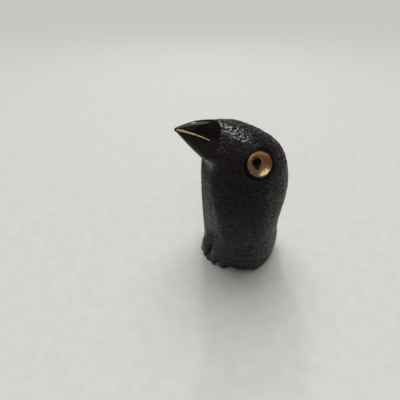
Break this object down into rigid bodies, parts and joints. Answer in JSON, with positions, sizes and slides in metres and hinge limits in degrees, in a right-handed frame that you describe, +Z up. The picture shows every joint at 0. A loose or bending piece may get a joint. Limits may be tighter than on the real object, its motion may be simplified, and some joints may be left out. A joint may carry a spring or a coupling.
{
  "type": "crow_figurine",
  "caption": "Small black carved crow figurine looking upwards, with a polished beak, gold mouth lines and gold eyes, on a felt pad",
  "frame": {"origin": "on the standing plane, under the middle of the bounding box", "axes": "+Z is up, the bird faces -Y, and its left side is +X"},
  "size_m": [0.0406, 0.0574, 0.0763],
  "materials": {
    "black_lacquer": "black lacquer, half gloss, over a finely stippled surface",
    "black_gloss": "smooth polished black lacquer",
    "black_bead": "glossy black bead",
    "gold": "worn golden brass, lightly mottled",
    "dowel_wood": "bare wood",
    "red_felt": "red-brown felt"
  },
  "bodies": {
    "root": {"body": "black_lacquer", "beak": "black_gloss", "beak_dowel": "dowel_wood", "mouth_inlay_left": "gold", "mouth_inlay_right": "gold", "eye_rim_left": "black_gloss", "eye_rim_right": "black_gloss", "iris_left": "gold", "iris_right": "gold", "pupil_left": "black_bead", "pupil_right": "black_bead", "foot_left": "black_lacquer", "foot_right": "black_lacquer", "foot_dowel_left": "dowel_wood", "foot_dowel_right": "dowel_wood", "base_pad": "red_felt"}
  },
  "joints": []
}
